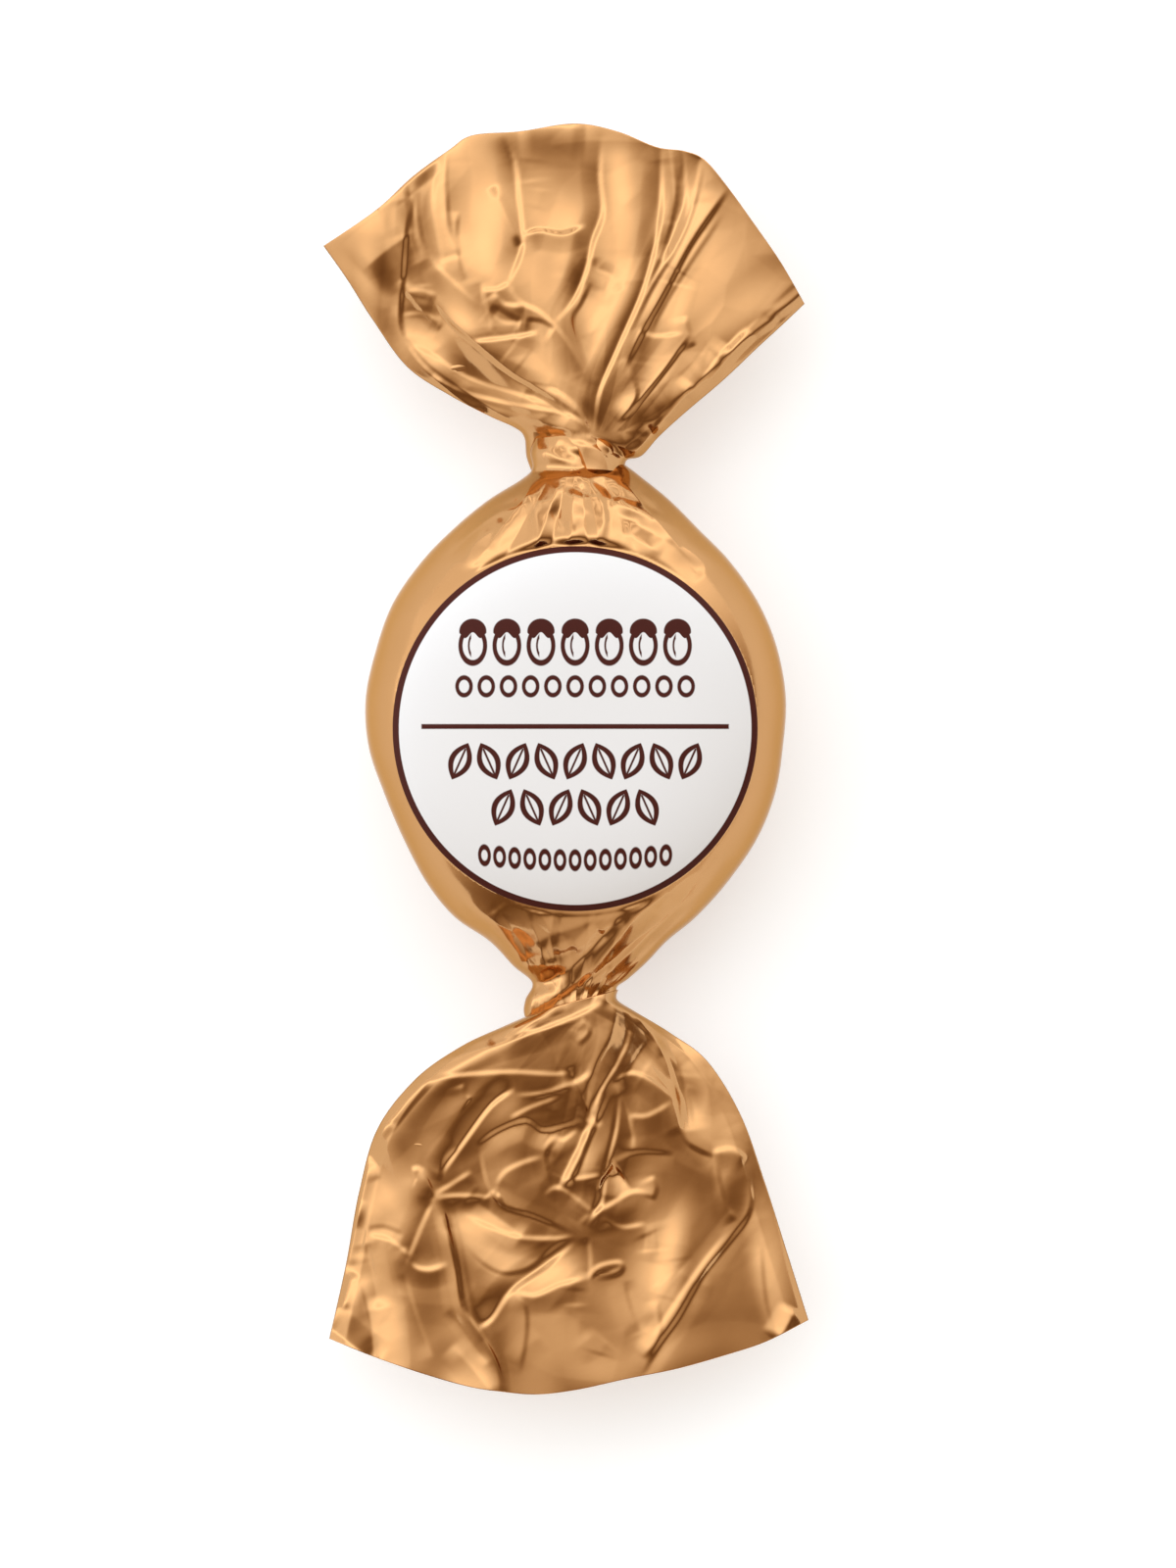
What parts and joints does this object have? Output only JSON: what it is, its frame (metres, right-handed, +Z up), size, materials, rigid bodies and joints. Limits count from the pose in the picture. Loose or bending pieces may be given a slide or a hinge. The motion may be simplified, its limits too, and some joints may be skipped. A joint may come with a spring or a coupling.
{
  "type": "foil-wrapped hazelnut praline",
  "caption": "Round praline in copper-gold foil, twisted at both ends into open pleated fans, lying on its back with a round white label up.",
  "frame": {"origin": "middle of the flat spot that the praline rests on, on its back, straight under the label's middle", "axes": "+X across the praline, +Y along it to the top end as pictured, +Z up out of the label"},
  "size_m": [0.0367, 0.0962, 0.0181],
  "materials": {
    "foil": "satin copper-gold lacquered foil, crumpled, roughness about 0.32",
    "label_paper": "smooth white paper with dark brown print"
  },
  "bodies": {
    "root": {"wrapper": "foil", "label": "label_paper"}
  },
  "joints": []
}
